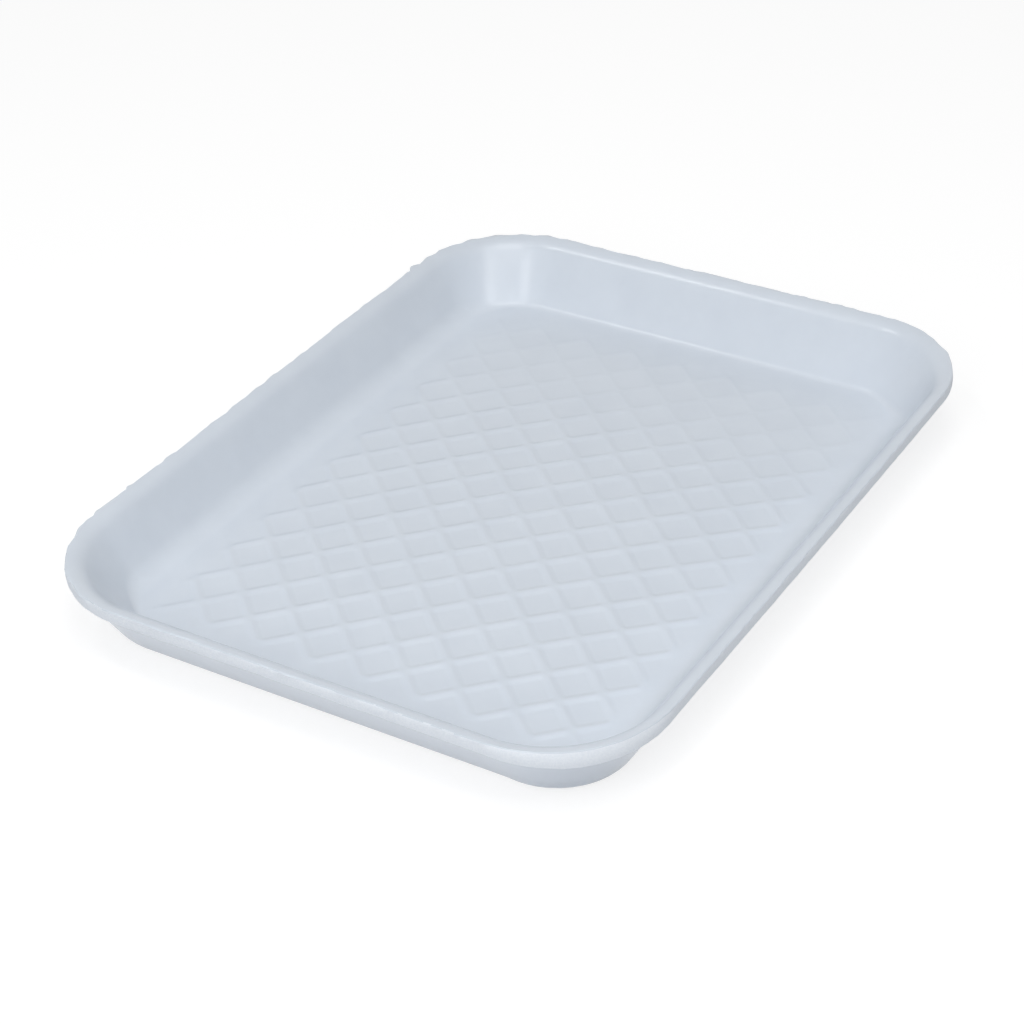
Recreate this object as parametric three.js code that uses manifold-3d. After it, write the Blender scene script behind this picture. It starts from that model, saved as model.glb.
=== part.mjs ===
// A thermoformed foam tray for food: one moulded sheet with flared walls, a rolled lip with a
// trimmed edge, and a crowned floor that carries a diagonal lattice of raised lines.
// Millimetres, +Z up, origin in the middle of the plane that the tray stands on.
import * as THREE from "three";
import { mergeVertices } from "three/addons/utils/BufferGeometryUtils.js";
import Module from "manifold-3d";

// Overall size
const width = 235;
const length = 308;
const height = 26.7;
const cornerRadius = 44.4;

// How far the sides and the ends of the plan swell out to their middles
const sideSwell = 0.85;
const endSwell = 0.2;

// Section of the sheet
const foam = 4;
const wallAngle = THREE.MathUtils.degToRad(59);
const floorFillet = 5;
const footFillet = 8;
const footBand = 9;
const floorCrown = 3.2;

// Lip: the crest stands in from the outermost edge, and the trimmed face falls from it
const rollRadius = 8;
const crestAngle = THREE.MathUtils.degToRad(2);
const lipUnderAngle = THREE.MathUtils.degToRad(12);
const trimRun = 0.4;
const trimDrop = 4.1;

// Lattice of raised lines, square to itself and turned by 45 degrees to the sides
const pitch = 15.3;
const lineWidth = 3.6;
const lineTop = 1.1;
const lineHeight = 0.55;
const lineSink = 0.5;
const lineRunOut = 1.4;
const lineTaper = 3;
const sideMargin = 5;
const endMargin = 9;
const patternShiftX = 2.9;
const patternShiftY = -2.7;

// Fineness of the facets
const minCornerRadius = 1;
const cornerSteps = 8;
const sideSteps = 6;
const filletSteps = 5;
const rollSteps = 5;
const backSteps = 4;
const footSteps = 4;
const archRings = 4;

const foamColour = 0xdfe6ee;
const foamRoughness = 0.62;

const wasm = await Module();
wasm.setup();

// Points of an arc in the section, from one tilt of the surface to another.
// A point is [inset from the outermost edge, height].
function sectionArc(centre, radius, fromTilt, toTilt, steps, side) {
  const points = [];
  for (let k = 0; k <= steps; k++) {
    const tilt = THREE.MathUtils.lerp(fromTilt, toTilt, k / steps);
    const inset = centre[0] + side * radius * Math.sin(tilt);
    const rise = centre[1] + side * radius * Math.cos(tilt);
    points.push([inset, rise]);
  }
  return points;
}

// The inner skin runs from the crest of the lip down to the edge of the floor.
const rollCentre = [
  trimRun - rollRadius * Math.sin(crestAngle),
  height - rollRadius * Math.cos(crestAngle),
];
const wallTop = [
  rollCentre[0] + rollRadius * Math.sin(wallAngle),
  rollCentre[1] + rollRadius * Math.cos(wallAngle),
];
const wallFoot = foam + floorFillet * (1 - Math.cos(wallAngle));
const floorInset =
  wallTop[0] + (wallTop[1] - wallFoot) / Math.tan(wallAngle) + floorFillet * Math.sin(wallAngle);
const innerSkin = [
  ...sectionArc(rollCentre, rollRadius, crestAngle, wallAngle, rollSteps, 1),
  ...sectionArc([floorInset, foam + floorFillet], floorFillet, wallAngle, 0, filletSteps, -1),
];

// The outer skin lies one sheet thickness behind it, from the trimmed edge to the foot.
const backRadius = rollRadius - foam;
const backTop = [
  rollCentre[0] + backRadius * Math.sin(wallAngle),
  rollCentre[1] + backRadius * Math.cos(wallAngle),
];
const footStart = footFillet * (1 - Math.cos(wallAngle));
const footInset =
  backTop[0] + (backTop[1] - footStart) / Math.tan(wallAngle) + footFillet * Math.sin(wallAngle);
const outerSkin = [
  [0, height - trimDrop],
  ...sectionArc(rollCentre, backRadius, lipUnderAngle, wallAngle, backSteps, 1),
  ...sectionArc([footInset, footFillet], footFillet, wallAngle, 0, footSteps, -1),
];

// A point on one rounded corner of the plan, counted counter-clockwise from the +X +Y corner.
function cornerPoint(corner, share, farX, farY, radius) {
  const signX = corner % 3 === 0 ? 1 : -1;
  const signY = corner < 2 ? 1 : -1;
  const turn = ((corner + share) * Math.PI) / 2;
  return new THREE.Vector2(signX * farX + radius * Math.cos(turn), signY * farY + radius * Math.sin(turn));
}

// Swells a point of the plan outwards, most where it is level with the middle of a side or an end.
function swell(point) {
  const halfX = width / 2 - sideSwell;
  const halfY = length / 2 - endSwell;
  const growX = (sideSwell / halfX) * (1 - (point.y / halfY) ** 2);
  const growY = (endSwell / halfY) * (1 - (point.x / halfX) ** 2);
  return new THREE.Vector2(point.x * (1 + growX), point.y * (1 + growY));
}

// A rounded rectangle seen from above, counter-clockwise, at an inset from the outermost edge.
function planRing(inset) {
  const radius = Math.max(cornerRadius - inset, minCornerRadius);
  const farX = width / 2 - sideSwell - inset - radius;
  const farY = length / 2 - endSwell - inset - radius;
  const points = [];
  for (let corner = 0; corner < 4; corner++) {
    for (let k = 0; k <= cornerSteps; k++) {
      points.push(cornerPoint(corner, k / cornerSteps, farX, farY, radius));
    }
    const sideStart = cornerPoint(corner, 1, farX, farY, radius);
    const sideEnd = cornerPoint((corner + 1) % 4, 0, farX, farY, radius);
    for (let k = 1; k < sideSteps; k++) {
      points.push(sideStart.clone().lerp(sideEnd, k / sideSteps));
    }
  }
  return points.map(swell);
}

// Height of the dome over a rectangle: full in the middle, nothing along its sides.
function dome(x, y, halfX, halfY) {
  const acrossX = Math.max(0, 1 - (x / halfX) ** 2);
  const acrossY = Math.max(0, 1 - (y / halfY) ** 2);
  return floorCrown * acrossX * acrossY;
}

// Skins a stack of rings, each with as many points as the next, and closes both ends in a point.
function skinRings(rings, firstPole, lastPole) {
  const vertices = [...firstPole, ...rings.flat(2), ...lastPole];
  const count = rings[0].length;
  const lastIndex = vertices.length / 3 - 1;
  const faces = [];
  for (let k = 0; k < count; k++) {
    const next = (k + 1) % count;
    faces.push(0, 1 + next, 1 + k);
    for (let ring = 0; ring < rings.length - 1; ring++) {
      const low = 1 + ring * count;
      const high = low + count;
      faces.push(low + k, low + next, high + next, low + k, high + next, high + k);
    }
    const top = 1 + (rings.length - 1) * count;
    faces.push(top + k, top + next, lastIndex);
  }
  const geometry = new THREE.BufferGeometry();
  geometry.setAttribute("position", new THREE.Float32BufferAttribute(vertices, 3));
  geometry.setIndex(faces);
  return geometry;
}

// The moulded sheet, with its floor still flat on top and already arched beneath.
function sheetGeometry() {
  const archInset = footInset + footBand;
  const archX = width / 2 - archInset;
  const archY = length / 2 - archInset;
  const rings = [];
  for (let k = 1; k <= archRings; k++) {
    const share = k / archRings;
    rings.push(planRing(archInset).map((p) => {
      const x = p.x * share;
      const y = p.y * share;
      return [x, y, dome(x, y, archX, archY)];
    }));
  }
  for (const [inset, rise] of [...outerSkin].reverse()) {
    rings.push(planRing(inset).map((p) => [p.x, p.y, rise]));
  }
  for (const [inset, rise] of innerSkin) {
    rings.push(planRing(inset).map((p) => [p.x, p.y, rise]));
  }
  return skinRings(rings, [0, 0, floorCrown], [0, 0, foam]);
}

function toSolid(geometry) {
  const bare = geometry.clone();
  bare.deleteAttribute("normal");
  bare.deleteAttribute("uv");
  const merged = mergeVertices(bare, 1e-4);
  return new wasm.Manifold(new wasm.Mesh({
    numProp: 3,
    vertProperties: new Float32Array(merged.attributes.position.array),
    triVerts: new Uint32Array(merged.index.array),
  }));
}

// One raised line: a bar that is sunk in the floor and narrows to its top and to its two ends.
function lineGeometry(from, to) {
  const reach = from.distanceTo(to);
  const bar = new THREE.BoxGeometry(reach, lineWidth, lineHeight + lineSink);
  const place = bar.attributes.position;
  for (let k = 0; k < place.count; k++) {
    if (place.getZ(k) > 0) {
      place.setX(k, place.getX(k) * (1 - (2 * lineTaper) / reach));
      place.setY(k, place.getY(k) * (lineTop / lineWidth));
    }
  }
  bar.translate(0, 0, foam + (lineHeight - lineSink) / 2);
  bar.rotateZ(Math.atan2(to.y - from.y, to.x - from.x));
  bar.translate((from.x + to.x) / 2, (from.y + to.y) / 2, 0);
  return bar;
}

// Every line of both diagonal families, cut to the rectangle that the lattice fills.
function latticeLines() {
  const step = pitch / Math.SQRT2;
  const columns = Math.floor((width / 2 - floorInset - sideMargin) / step);
  const rows = Math.floor((length / 2 - floorInset - endMargin) / step);
  const halfX = columns * step + lineRunOut;
  const halfY = rows * step + lineRunOut;
  const parity = 1 - ((columns + rows) % 2);
  const lines = [];
  const furthest = columns + rows - 2;
  for (let k = -furthest; k <= furthest; k++) {
    if (Math.abs(k % 2) === parity) {
      continue;
    }
    const offset = k * step;
    const low = Math.max(-halfX, offset - halfY);
    const high = Math.min(halfX, offset + halfY);
    for (const lean of [1, -1]) {
      const from = new THREE.Vector2(low + patternShiftX, lean * (offset - low) + patternShiftY);
      const to = new THREE.Vector2(high + patternShiftX, lean * (offset - high) + patternShiftY);
      lines.push(lineGeometry(from, to));
    }
  }
  return lines;
}

// Joins the lines to the sheet, then lifts the top of the floor and its lines over the crown.
function trayGeometry() {
  let solid = toSolid(sheetGeometry());
  for (const line of latticeLines()) {
    solid = solid.add(toSolid(line));
  }
  const mesh = solid.getMesh();
  const places = new Float32Array(mesh.vertProperties);
  const floorX = width / 2 - floorInset;
  const floorY = length / 2 - floorInset;
  for (let k = 0; k < places.length; k += 3) {
    const overFloor = Math.abs(places[k]) < floorX && Math.abs(places[k + 1]) < floorY;
    const onTop = places[k + 2] > foam - lineSink / 2 && places[k + 2] < foam + 2 * lineHeight;
    if (overFloor && onTop) {
      places[k + 2] += dome(places[k], places[k + 1], floorX, floorY);
    }
  }
  const geometry = new THREE.BufferGeometry();
  geometry.setAttribute("position", new THREE.Float32BufferAttribute(places, 3));
  geometry.setIndex([...mesh.triVerts]);
  geometry.computeVertexNormals();
  return geometry;
}

const whiteFoam = new THREE.MeshStandardMaterial({
  name: "white_foam",
  color: foamColour,
  roughness: foamRoughness,
  metalness: 0,
});

const tray = new THREE.Mesh(trayGeometry(), whiteFoam);
tray.name = "tray";

const foamTray = new THREE.Group();
foamTray.add(tray);

export default foamTray;
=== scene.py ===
# %% [markdown]
# # A foam tray, lesson by lesson
# The object is a takeaway tray of white foam, about 31 by 23.5 cm and 27 mm high. It is one sheet
# that was softened by heat, pressed into a mould and then cut free round its lip. So this lesson
# models one skin that starts at the floor, climbs the wall, rolls over the lip and comes back
# underneath. First the plain CAD model is opened.

import bpy
import bmesh
import math
from mathutils import Matrix, Vector, noise


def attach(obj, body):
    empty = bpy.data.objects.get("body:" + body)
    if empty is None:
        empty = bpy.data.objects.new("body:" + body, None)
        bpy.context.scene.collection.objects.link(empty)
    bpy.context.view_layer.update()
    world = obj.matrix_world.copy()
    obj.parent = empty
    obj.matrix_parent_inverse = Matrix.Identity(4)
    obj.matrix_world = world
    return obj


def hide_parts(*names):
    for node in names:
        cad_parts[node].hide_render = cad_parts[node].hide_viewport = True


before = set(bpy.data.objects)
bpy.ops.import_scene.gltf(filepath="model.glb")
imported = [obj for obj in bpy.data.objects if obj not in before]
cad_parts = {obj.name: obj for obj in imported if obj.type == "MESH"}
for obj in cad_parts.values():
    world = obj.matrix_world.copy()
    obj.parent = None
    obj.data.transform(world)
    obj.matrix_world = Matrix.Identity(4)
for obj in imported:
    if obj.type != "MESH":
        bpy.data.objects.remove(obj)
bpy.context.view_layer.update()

# %% [markdown]
# ## The camera
# The photograph looks down on one corner of the tray from about 33 degrees above the table. The
# outline of the lip and the net of ridges on the floor, taken together, say where the camera stood.
# The numbers here are the camera's place, the point that it looks at, its lens and its small roll.

# %% Place the camera
MM = 0.001
camera_place = Vector((401.7, -656.4, 507.7)) * MM
aim_point = Vector((1.07, -16.13, 10.0)) * MM
camera_roll = math.radians(2.24)
lens_length = 87.02
sensor_width = 36.0

camera_data = bpy.data.cameras.new("photo_camera")
camera = bpy.data.objects.new("photo_camera", camera_data)
bpy.context.collection.objects.link(camera)
camera_data.lens = lens_length
camera_data.sensor_width = sensor_width
view_line = aim_point - camera_place
upright = view_line.to_track_quat("-Z", "Y").to_matrix().to_4x4()
rolled = upright @ Matrix.Rotation(-camera_roll, 4, "Z")
camera.matrix_world = Matrix.Translation(camera_place) @ rolled
bpy.context.scene.camera = camera
print("camera stands", round(view_line.length, 3), "m from the tray")

# %% [markdown]
# ## The sizes of the tray
# The mould sets the plan and the walls, and the blade that cuts the tray free sets the edge. The
# long sides meet the floor in a wide soft curve, and the two ends are flatter and meet it in a
# crisp line, so the walls of each have sizes of their own. Lengths are in millimetres.

# %% Sizes of the tray
half_width = 117.5
half_length = 154.0
height = 26.7
corner_radius = 44.4
side_swell = 0.85
end_swell = 0.2
foam = 4.0
floor_crown = 3.2

side_wall_angle = math.radians(59)
side_fillet = 11.0
roll_radius = 8.0
end_wall_angle = math.radians(52.3)
end_fillet = 4.0
end_roll_radius = 10.0
foot_fillet = 8.0
foot_band = 9.0

crest_angle = math.radians(2)
under_angle = math.radians(12)
trim_run = 0.4
trim_drop = 4.1
edge_ease = 0.3
print("the tray is", 2 * half_width, "by", 2 * half_length, "by", height, "mm")

# %% [markdown]
# ## The section of the sheet
# A moulded tray is easiest to describe by its section, read here from the floor outwards: a
# fillet, a straight wall and a roll that ends at the crest of the lip. Every point is an inset from
# the outermost edge and a height. The same function gives the section of a side and of an end.

# %% Work out the section of a side and of an end
curve_steps = 9
wall_shares = (1 / 3, 2 / 3)


def arc(centre, radius, start, end, steps, side):
    points = []
    for k in range(steps + 1):
        tilt = start + (end - start) * k / steps
        points.append((centre[0] + side * radius * math.sin(tilt),
                       centre[1] + side * radius * math.cos(tilt)))
    return points


def centre_of_roll(radius):
    return trim_run - radius * math.sin(crest_angle), height - radius * math.cos(crest_angle)


def wall_section(angle, radius, lip_radius):
    roll = arc(centre_of_roll(lip_radius), lip_radius, angle, crest_angle, curve_steps, 1)
    foot_rise = foam + radius * (1 - math.cos(angle))
    start = roll[0][0] + (roll[0][1] - foot_rise) / math.tan(angle) + radius * math.sin(angle)
    fillet = arc((start, foam + radius), radius, 0, angle, curve_steps, -1)
    wall = [tuple(low + (high - low) * share for low, high in zip(fillet[-1], roll[0]))
            for share in wall_shares]
    return fillet + wall + roll


side_section = wall_section(side_wall_angle, side_fillet, roll_radius)
end_section = wall_section(end_wall_angle, end_fillet, end_roll_radius)
floor_inset = side_section[0][0]
print("the floor starts", round(floor_inset, 2), "mm in from the edge")

# %% [markdown]
# ## The plan of the tray
# Seen from above, each level of the tray is a rounded rectangle. All of them share one inner
# rectangle, the core, and each point of a level lies on a ray that leaves the core at a right
# angle. That makes it simple to send a ring of points outwards: it slides along its rays. The
# sides aren't quite straight, because the cooling sheet let them swell by about a millimetre.

# %% Rays from the core, and the swell of the sides
core = Vector((half_width - side_swell - corner_radius, half_length - end_swell - corner_radius))


def ray(place):
    level = Vector((place.x / MM, place.y / MM))
    start = Vector((min(max(level.x, -core.x), core.x), min(max(level.y, -core.y), core.y)))
    return start, (level - start).normalized()


def ring_place(place, inset, rise):
    start, way = ray(place)
    level = start + way * (corner_radius - inset)
    return Vector((level.x, level.y, rise)) * MM


def swollen(place):
    reach = core + Vector((corner_radius, corner_radius))
    x, y = place.x / MM, place.y / MM
    grow_x = 1 + side_swell / reach.x * (1 - (y / reach.y) ** 2)
    grow_y = 1 + end_swell / reach.y * (1 - (x / reach.x) ** 2)
    return Vector((x * grow_x * MM, y * grow_y * MM, place.z))


print("the core is", round(2 * core.x, 1), "by", round(2 * core.y, 1), "mm")

# %% [markdown]
# ## The floor blank
# The floor starts as a plane that is trimmed to its rounded outline by straight cuts, one for
# each side and a dozen round each corner. Bisect does this without a window, and it can cut away
# what lies outside each cut, as a knife along a ruler would.

# %% Trim a plane to the outline of the floor
floor_radius = corner_radius - floor_inset
corner_cuts = 12
cut_tolerance = 1e-7


def deselect_everything():
    if bpy.context.object and bpy.context.object.mode != "OBJECT":
        bpy.ops.object.mode_set(mode="OBJECT")
    bpy.ops.object.select_all(action="DESELECT")


def cut(point, normal, keep_inside):
    bpy.ops.mesh.select_all(action="SELECT")
    bpy.ops.mesh.bisect(plane_co=(point.x * MM, point.y * MM, 0), plane_no=(normal.x, normal.y, 0),
                        clear_outer=keep_inside, threshold=cut_tolerance)


deselect_everything()
bpy.ops.mesh.primitive_plane_add(size=2 * half_length * MM, location=(0, 0, 0))
tray = bpy.context.object
tray.name = "foam_tray"
bpy.ops.object.mode_set(mode="EDIT")
for sign_x in (1, -1):
    for sign_y in (1, -1):
        for k in range(corner_cuts + 1):
            turn = math.pi / 2 * k / corner_cuts
            way = Vector((sign_x * math.cos(turn), sign_y * math.sin(turn)))
            corner = Vector((sign_x * core.x, sign_y * core.y))
            cut(corner + way * floor_radius, way, True)
print("the floor's outline has", len(bmesh.from_edit_mesh(tray.data).verts), "points")

# %% [markdown]
# ## The lattice of raised lines
# The mould pressed a net of low ridges into the floor. They run in two sets, each at about 45
# degrees to the sides, and each set has its own turn, spacing and offset. The blank is scored
# along each ridge: its middle, its two feet and the steps between. The scored points can then be
# lifted by how far each lies from the middle of a ridge, so that the ridge is part of the sheet,
# with a soft shoulder, and not a stick laid on it.
# Each family below is the turn, the spacing and the offset of one set.

# %% Score the blank along the ridges
families = ((math.radians(45.32), 15.13, 0.09), (math.radians(-44.92), 15.41, 3.99))
ridge_steps = (0.0, 0.6, 1.2, 1.8, 2.4, 3.1)
net_middle = Vector((3.2, -2.0))
net_reach = Vector((86.5, 119.0))
run_out_cuts = (-2.0, -1.0, 0.0, 1.0, 2.0)

for turn, pitch, offset in families:
    way = Vector((math.cos(turn), math.sin(turn)))
    furthest = int((core.x + core.y) * math.sqrt(2) / pitch)
    for k in range(-furthest, furthest):
        for side in (1, -1):
            for away in ridge_steps[0 if side > 0 else 1:]:
                cut(way * (offset + (k + 0.5) * pitch + side * away), way, False)
for beyond in run_out_cuts:
    for sign in (1, -1):
        cut(net_middle + Vector((sign * (net_reach.x + beyond), 0)), Vector((1, 0)), False)
        cut(net_middle + Vector((0, sign * (net_reach.y + beyond))), Vector((0, 1)), False)
print("the scored floor has", len(bmesh.from_edit_mesh(tray.data).faces), "faces")

# %% [markdown]
# ## The shape of the crown and of a ridge
# Real floors of this kind rise a little to their middle, which keeps the tray from rocking and
# lets juices run to the sides. The crown is a smooth dome. A ridge is a low wave across its line,
# and where two ridges cross, the corners of the cells between them are rounded. One set stands a
# little higher than the other.

# %% Describe the crown and the wave of a ridge
ridge_half = 2.7
ridge_height = 0.78
cell_rounding = 2.8
crossing_blend = 0.3


def smooth(share):
    share = min(max(share, 0.0), 1.0)
    return share * share * (3 - 2 * share)


def crown(x, y, reach_x, reach_y):
    return floor_crown * max(0.0, 1 - (x / reach_x) ** 2) * max(0.0, 1 - (y / reach_y) ** 2)


def from_ridges(x, y):
    away = []
    for turn, pitch, offset in families:
        across = (x * math.cos(turn) + y * math.sin(turn) - offset) / pitch - 0.5
        away.append(abs(across - round(across)) * pitch)
    return away


def ridge_wave(away):
    blend = max(cell_rounding - abs(away[0] - away[1]), 0.0) / cell_rounding
    nearest = max(min(away) - blend * blend * cell_rounding / 4, 0.0)
    return ridge_height * (0.5 + 0.5 * math.cos(math.pi * min(nearest / ridge_half, 1.0)))


print("a ridge is", 2 * ridge_half, "mm wide and", ridge_height, "mm high")

# %% [markdown]
# ## How deep the mould printed
# The print isn't even. In the photograph the ridges are plain at the near end, weaken past the
# middle and almost vanish at the back, and they are a little weaker at the left side. All of them
# also fade out just past their last crossings, before the fillet begins.

# %% Describe how the print fades
faint_family = 0.8
back_print, back_edge, back_fade = 0.15, 105, 75
middle_loss, middle_start, middle_fade = 0.12, -40, 80
left_print, left_edge, left_fade = 0.72, -75, 40
run_out = 2.0
fade_length = 5.5
fillet_fade = 1.5


def print_depth(x, y, away):
    to_back = back_print + (1 - back_print) * smooth((back_edge - y) / back_fade)
    to_back *= 1 - middle_loss * smooth((y - middle_start) / middle_fade)
    share = (away[0] + crossing_blend) / (away[0] + away[1] + 2 * crossing_blend)
    of_families = share * to_back + (1 - share) * faint_family * math.sqrt(to_back)
    return of_families * (left_print + (1 - left_print) * smooth((x - left_edge) / left_fade))


def ridge(x, y):
    away = from_ridges(x, y)
    level = Vector((x, y))
    from_middle = level - net_middle
    beyond = max(abs(from_middle.x) - net_reach.x, abs(from_middle.y) - net_reach.y)
    to_fillet = floor_radius - (level - ray(level * MM)[0]).length
    inside = smooth((run_out - beyond) / fade_length) * smooth(to_fillet / fillet_fade)
    return ridge_wave(away) * print_depth(x, y, away) * inside


print("at the back the print keeps", back_print, "of its depth")

# %% [markdown]
# ## Lifting the floor
# Now the scored blank gets its shape. The points on the border slide to the start of the fillet,
# and all the others rise to the crown with the ridges on it. The cuts left a few border points
# almost on top of one another, and these are merged, so that the walls start from a clean ring.

# %% Raise the crown and the ridges
floor_reach = Vector((half_width - floor_inset, half_length - floor_inset))
merge_distance = 0.25


def select_border():
    bpy.ops.mesh.select_all(action="DESELECT")
    mesh = bmesh.from_edit_mesh(tray.data)
    for edge in mesh.edges:
        edge.select_set(edge.is_boundary)
    bmesh.update_edit_mesh(tray.data)
    return sum(1 for edge in mesh.edges if edge.is_boundary)


mesh = bmesh.from_edit_mesh(tray.data)
border = {vertex for edge in mesh.edges if edge.is_boundary for vertex in edge.verts}
for vertex in mesh.verts:
    x, y = vertex.co.x / MM, vertex.co.y / MM
    if vertex in border:
        vertex.co = ring_place(vertex.co, floor_inset, foam)
    else:
        vertex.co.z = (foam + crown(x, y, *floor_reach) + ridge(x, y)) * MM
bmesh.update_edit_mesh(tray.data)
bpy.ops.mesh.select_mode(type="EDGE")
select_border()
bpy.ops.mesh.remove_doubles(threshold=merge_distance * MM)
print("points round the floor:", select_border())

# %% [markdown]
# ## How the blade wandered
# After moulding, the sheet was cut free with a blade, so the lip ends in a nearly upright face
# with crisp edges. The cut wandered a little. It is roughest along the left side, where it also
# left three small nibs, and along the back. At the corner nearest to the camera the cut edge
# droops and the wall below it is a bit fuller.
# Each nib has a place, a reach and a spread, and each wave a grain, a reach and a layer of noise.

# %% Describe the waves, the nibs and the near corner
nib_places = ((Vector((-116.8, -88.2)), 1.0, 1.8), (Vector((-116.7, -106.3)), 0.6, 2.6),
              (Vector((-116.7, 102.9)), 1.4, 3.4))
calm_edge, left_roughness, back_roughness = 0.25, 0.75, 0.6
crest_waves, crest_rise = ((5.0, 0.8, 1.5), (2.5, 0.3, 3.5)), (14.0, 0.1, 4.5)
blade_waves, blade_rise = ((5.0, 0.3, 1.5), (2.5, 0.1, 8.5)), (8.0, 0.2, 2.5)
corner_outset = 0.8
corner_droop = 1.5
corner_fullness = 2.2
fullness_top = 1.2


def wander(place, grain, amount, layer):
    return amount * noise.noise(Vector((place.x / MM / grain, place.y / MM / grain, layer)))


def raggedness(place):
    way = ray(place)[1]
    return calm_edge + left_roughness * smooth(0.5 - way.x * 2) + back_roughness * smooth(way.y * 2 - 0.5)


def near_corner(place):
    way = ray(place)[1]
    return max(0.0, -2 * way.x * way.y) if way.x > 0 else 0.0


def nibs(place):
    level = Vector((place.x, place.y)) / MM
    return sum(reach * max(0.0, 1 - ((level - spot).length / spread) ** 2)
               for spot, reach, spread in nib_places)


def crest_drift(place):
    out = raggedness(place) * sum(wander(place, *wave) for wave in crest_waves)
    return out - nibs(place), wander(place, *crest_rise)


def blade_drift(place):
    out = raggedness(place) * sum(wander(place, *wave) for wave in blade_waves)
    droop = near_corner(place)
    return (out - nibs(place) - corner_outset * droop,
            wander(place, *blade_rise) - corner_droop * droop)


def corner_fill(place):
    below_lip = smooth(fullness_top - place.z / MM / height)
    return -corner_fullness * near_corner(place) * below_lip, 0.0


print("nibs on the cut edge:", len(nib_places))

# %% [markdown]
# ## The wall and the lip
# The border of the floor is extruded again and again. Each new ring slides along its rays to the
# next point of the section: up the fillet, up the wall and round the roll to the crest. The
# direction of its ray says how much of the side section and how much of the end section a point
# gets, so the two blend round the corners. The last rings go over the crest and down the cut face.

# %% Extrude the inner skin up to the lip
trim_slope = math.atan2(trim_drop, trim_run)
trim_shares = (0.62, 0.3)
lower_edge = ((0.7, 0.8), (0.9, -0.6))
end_share_gain = 1.25


def extrude_to(inset, rise, drift=None):
    bpy.ops.mesh.extrude_edges_move()
    mesh = bmesh.from_edit_mesh(tray.data)
    for vertex in mesh.verts:
        if vertex.select:
            more_in, more_up = drift(vertex.co) if drift else (0.0, 0.0)
            vertex.co = ring_place(vertex.co, inset + more_in, rise + more_up)
    bmesh.update_edit_mesh(tray.data)


def between(side_point, end_point):
    def drift(place):
        share = smooth(end_share_gain * abs(ray(place)[1].y))
        return [share * (end - side) for side, end in zip(side_point, end_point)]
    return drift


for side_point, end_point in zip(side_section[1:-1], end_section[1:-1]):
    extrude_to(*side_point, between(side_point, end_point))
extrude_to(trim_run + edge_ease, height - edge_ease * math.tan(crest_angle), crest_drift)
extrude_to(trim_run - edge_ease * math.cos(trim_slope),
           height - edge_ease * math.sin(trim_slope), crest_drift)
for share in trim_shares:
    extrude_to(trim_run * share, height - trim_drop * (1 - share), blade_drift)
for in_share, up_share in lower_edge:
    extrude_to(edge_ease * in_share, height - trim_drop + edge_ease * up_share, blade_drift)
print("points so far:", len(bmesh.from_edit_mesh(tray.data).verts))

# %% [markdown]
# ## The outer skin
# Under the lip the sheet turns back and runs down the outside, one thickness behind the inner
# skin of the sides, to a soft foot. The photograph hardly shows it, so it is kept plain.

# %% Extrude the outer skin down to the foot
wall_steps = 3
back = arc(centre_of_roll(roll_radius), roll_radius - foam, under_angle, side_wall_angle, 4, 1)
foot_start = foot_fillet * (1 - math.cos(side_wall_angle))
foot_inset = (back[-1][0] + (back[-1][1] - foot_start) / math.tan(side_wall_angle)
              + foot_fillet * math.sin(side_wall_angle))
foot = arc((foot_inset, foot_fillet), foot_fillet, side_wall_angle, 0, 8, -1)

for inset, rise in back:
    extrude_to(inset, rise, corner_fill)
for k in range(1, wall_steps):
    share = k / wall_steps
    extrude_to(back[-1][0] + (foot[0][0] - back[-1][0]) * share,
               back[-1][1] + (foot[0][1] - back[-1][1]) * share, corner_fill)
for inset, rise in foot:
    extrude_to(inset, rise, corner_fill)
print("the foot starts", round(foot_inset, 2), "mm in from the edge")

# %% [markdown]
# ## The underside
# The tray stands on a flat band round its edge, and the middle of the underside arches up with
# the crown, so that the sheet keeps about its thickness. Rings that shrink towards the middle
# follow the arch, and one small face closes it.

# %% Close the underside with an arch
arch_inset = foot_inset + foot_band
arch_reach = Vector((half_width - arch_inset, half_length - arch_inset))
arch_shares = (0.92, 0.82, 0.7, 0.55, 0.38, 0.2)

extrude_to(arch_inset, 0.0)
done = 1.0
for share in arch_shares:
    bpy.ops.mesh.extrude_edges_move()
    mesh = bmesh.from_edit_mesh(tray.data)
    for vertex in mesh.verts:
        if vertex.select:
            x, y = vertex.co.x / done * share, vertex.co.y / done * share
            vertex.co = Vector((x, y, crown(x / MM, y / MM, *arch_reach) * MM))
    bmesh.update_edit_mesh(tray.data)
    done = share
bpy.ops.mesh.edge_face_add()
mesh = bmesh.from_edit_mesh(tray.data)
print("the whole skin has", len(mesh.faces), "faces")

# %% [markdown]
# ## Finishing the shape
# The sides are swollen, all but the floor inside them, whose ridges were measured where they are.
# The faces are turned outwards and the surface is shaded smooth, with the crisp edges of the cut
# kept sharp.

# %% Swell the sides, turn the faces outwards and shade smooth
floor_margin = 0.01
under_floor = 0.5
sharp_angle = math.radians(40)

for vertex in mesh.verts:
    level = Vector((vertex.co.x, vertex.co.y)) / MM
    past_floor = (level - ray(vertex.co)[0]).length - floor_radius
    if past_floor > -floor_margin or vertex.co.z < (foam - under_floor) * MM:
        vertex.co = swollen(vertex.co)
bmesh.update_edit_mesh(tray.data)
bpy.ops.mesh.select_all(action="SELECT")
bpy.ops.mesh.normals_make_consistent(inside=False)
bpy.ops.object.mode_set(mode="OBJECT")
bpy.ops.object.shade_smooth_by_angle(angle=sharp_angle)
print("the tray's own box:", [round(side / MM, 2) for side in tray.dimensions], "mm")

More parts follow.
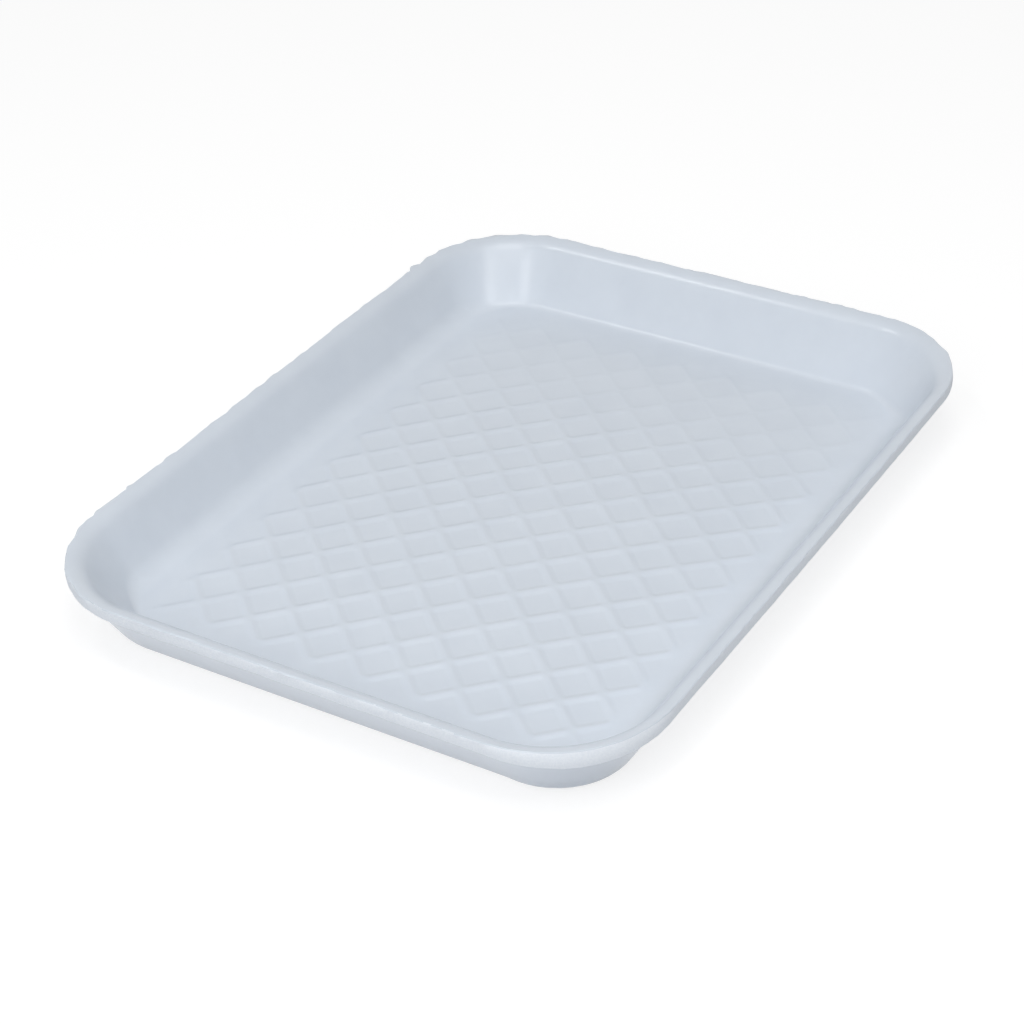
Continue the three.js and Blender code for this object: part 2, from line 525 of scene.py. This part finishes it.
# %% [markdown]
# ## Marking the cut face
# Round the lip the inside of the foam shows, and it gets a finish of its own. Its faces are found
# by where they are, high up and close to the outermost edge, and by the way that they face.

# %% Mark the faces of the cut
cut_low = height - trim_drop - 1.7
cut_depth = 2
cut_facing = 0.75

marked = 0
for face in tray.data.polygons:
    middle = face.center
    start, way = ray(middle)
    out = (Vector((middle.x, middle.y)) / MM - start).length
    facing = face.normal.x * way.x + face.normal.y * way.y
    if middle.z > cut_low * MM and out > corner_radius - cut_depth and facing > cut_facing:
        face.material_index = 1
        marked += 1
print("faces on the cut:", marked)

# %% [markdown]
# ## Tools for a finish
# Both finishes of the foam are built from the same few parts: a shader, an even noise in the
# tray's own space, a blend of two close tones and a little bump. Each part gets a function.

# %% Helpers for finishes
def empty_nodes(owner, output_kind):
    owner.use_nodes = True
    nodes, links = owner.node_tree.nodes, owner.node_tree.links
    nodes.clear()
    return nodes, links, nodes.new(output_kind).inputs["Surface"]


def new_finish(name):
    material = bpy.data.materials.new(name)
    nodes, links, surface = empty_nodes(material, "ShaderNodeOutputMaterial")
    shader = nodes.new("ShaderNodeBsdfPrincipled")
    links.new(shader.outputs["BSDF"], surface)
    where = nodes.new("ShaderNodeTexCoord").outputs["Object"]
    return material, nodes, links, shader, where


def noise_at(nodes, links, where, cells_per_metre, detail, roughness):
    texture = nodes.new("ShaderNodeTexNoise")
    texture.inputs["Scale"].default_value = cells_per_metre
    texture.inputs["Detail"].default_value = detail
    texture.inputs["Roughness"].default_value = roughness
    links.new(where, texture.inputs["Vector"])
    return texture.outputs["Fac"]


def add_tones(nodes, links, shader, factor, dark_end, light_end):
    ramp = nodes.new("ShaderNodeValToRGB")
    for element, (position, colour) in zip(ramp.color_ramp.elements, (dark_end, light_end)):
        element.position = position
        element.color = (*colour, 1)
    links.new(factor, ramp.inputs["Fac"])
    links.new(ramp.outputs["Color"], shader.inputs["Base Color"])


def add_bump(nodes, links, shader, layers):
    normal = None
    for factor, strength, distance in layers:
        bump = nodes.new("ShaderNodeBump")
        bump.inputs["Strength"].default_value = strength
        bump.inputs["Distance"].default_value = distance
        links.new(factor, bump.inputs["Height"])
        if normal:
            links.new(normal, bump.inputs["Normal"])
        normal = bump.outputs["Normal"]
    links.new(normal, shader.inputs["Normal"])


print("helpers for the finishes are ready")

# %% [markdown]
# ## The finish of the foam skin
# The skin of the foam is white with a cold tint, and satin rather than matt, because the cells at
# the surface melted shut in the mould. Under the skin the cells still show as a very fine grain,
# and the thickness of the skin varies, so its tone is slightly uneven.

# %% Skin of the foam
skin_gloss_roughness = 0.26
skin_tones = ((0.3, (0.665, 0.722, 0.797)), (0.7, (0.69, 0.747, 0.82)))

skin, nodes, links, shader, where = new_finish("foam_skin")
mottle = noise_at(nodes, links, where, 70.0, 3.0, 0.55)
grain = noise_at(nodes, links, where, 1400.0, 2.0, 0.5)
add_tones(nodes, links, shader, mottle, *skin_tones)
add_bump(nodes, links, shader, [(mottle, 0.12, 0.0004), (grain, 0.05, 0.0001)])
shader.inputs["Roughness"].default_value = skin_gloss_roughness
shader.inputs["Specular IOR Level"].default_value = 0.5
tray.data.materials.append(skin)
print("first finish:", skin.name)

# %% [markdown]
# ## The finish of the cut
# Where the blade opened the foam, the small cells are cut through. They catch the light as fine
# sparkle, so this finish is rougher and has a stronger grain than the skin.

# %% Cut face of the foam
cut_roughness = 0.7
cut_tones = ((0.35, (0.785, 0.835, 0.9)), (0.65, (0.84, 0.885, 0.94)))

cut_foam, nodes, links, shader, where = new_finish("cut_foam")
cells = noise_at(nodes, links, where, 1500.0, 2.0, 0.6)
add_tones(nodes, links, shader, cells, *cut_tones)
add_bump(nodes, links, shader, [(cells, 0.15, 0.0002)])
shader.inputs["Roughness"].default_value = cut_roughness
tray.data.materials.append(cut_foam)
print("second finish:", cut_foam.name)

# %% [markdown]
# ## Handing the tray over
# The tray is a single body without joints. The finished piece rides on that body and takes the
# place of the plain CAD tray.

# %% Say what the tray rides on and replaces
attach(tray, "root")
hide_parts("tray")
print("handed over:", tray.name)

# %% [markdown]
# ## The table
# The tray stands on plain pale card. To the camera the card is a darker one that glows, so that it
# turns white as in the photograph and keeps only a trace of the tray's shadow. The light that it
# throws back on the tray stays that of plain card.

# %% Lay the pale card
table_size = 6.0
card_colour = (0.85, 0.86, 0.88, 1)
shadow_colour = (0.3, 0.3, 0.3, 1)
card_glow = 0.78


def choose_by_ray(nodes, links, for_light, for_camera, surface):
    path = nodes.new("ShaderNodeLightPath")
    seen = path.outputs["Is Camera Ray"]
    for name in ("Is Glossy Ray", "Is Transmission Ray"):
        either = nodes.new("ShaderNodeMath")
        either.operation = "MAXIMUM"
        links.new(seen, either.inputs[0])
        links.new(path.outputs[name], either.inputs[1])
        seen = either.outputs["Value"]
    choice = nodes.new("ShaderNodeMixShader")
    links.new(seen, choice.inputs["Fac"])
    links.new(for_light, choice.inputs[1])
    links.new(for_camera, choice.inputs[2])
    links.new(choice.outputs["Shader"], surface)


deselect_everything()
bpy.ops.mesh.primitive_plane_add(size=table_size, location=(0, 0, 0))
table = bpy.context.object
table.name = "table"
card = bpy.data.materials.new("pale_card")
nodes, links, surface = empty_nodes(card, "ShaderNodeOutputMaterial")
plain = nodes.new("ShaderNodeBsdfDiffuse")
plain.inputs["Color"].default_value = card_colour
faint = nodes.new("ShaderNodeBsdfDiffuse")
faint.inputs["Color"].default_value = shadow_colour
glow = nodes.new("ShaderNodeEmission")
glow.inputs["Strength"].default_value = card_glow
both = nodes.new("ShaderNodeAddShader")
links.new(faint.outputs["BSDF"], both.inputs[0])
links.new(glow.outputs["Emission"], both.inputs[1])
choose_by_ray(nodes, links, plain.outputs["BSDF"], both.outputs["Shader"], surface)
table.data.materials.append(card)
print("the card is", table_size, "m square")

# %% [markdown]
# ## The sky
# A pale even sky fills the shade on every side. It is faint as a light, and the camera sees it as
# plain white.

# %% Set the sky
sky_strength = 0.245
white = (1.0, 1.0, 1.0, 1)

world = bpy.data.worlds.new("white_sky")
bpy.context.scene.world = world
nodes, links, surface = empty_nodes(world, "ShaderNodeOutputWorld")
sky = nodes.new("ShaderNodeBackground")
sky.inputs["Color"].default_value = white
sky.inputs["Strength"].default_value = sky_strength
backdrop = nodes.new("ShaderNodeBackground")
backdrop.inputs["Color"].default_value = white
backdrop.inputs["Strength"].default_value = 1.0
choose_by_ray(nodes, links, sky.outputs["Background"], backdrop.outputs["Background"], surface)
print("strength of the sky:", sky_strength)

# %% [markdown]
# ## The lamps
# A large key lamp above the corner nearest to the camera lights the floor, and a top lamp evens
# it. A small lamp out to the left draws the bright lines along the back lip and at the foot of the
# back wall. A low lamp beyond the near end lights the outer wall. The last two are small and stand
# where the back left corner mirrors them, as the two upright bright streaks of the photograph.
# Each lamp has a name, an azimuth and an elevation in degrees, a width in metres and its watts.

# %% Hang the lamps
lamps = (("key_lamp", -44, 70, 0.8, 5.1),
         ("top_lamp", 0, 88, 0.6, 1.3),
         ("fill_lamp", -158, 62, 0.22, 1.45),
         ("front_lamp", -86, 33, 0.6, 3.1),
         ("left_streak_lamp", -84, 49, 0.15, 0.95),
         ("right_streak_lamp", -23, 48, 0.15, 0.9))
lamp_distance = 1.3


def hang_lamp(name, azimuth, elevation, across, watts):
    lamp_data = bpy.data.lights.new(name, "AREA")
    lamp_data.shape = "DISK"
    lamp_data.size = across
    lamp_data.energy = watts
    lamp = bpy.data.objects.new(name, lamp_data)
    bpy.context.collection.objects.link(lamp)
    turn, rise = math.radians(azimuth), math.radians(elevation)
    line = Vector((math.cos(rise) * math.cos(turn), math.cos(rise) * math.sin(turn), math.sin(rise)))
    lamp.location = line * lamp_distance
    lamp.rotation_mode = "QUATERNION"
    lamp.rotation_quaternion = line.to_track_quat("Z", "Y")


for lamp_sizes in lamps:
    hang_lamp(*lamp_sizes)
bpy.context.scene.view_settings.view_transform = "Standard"
print("lamps in all:", len(lamps))
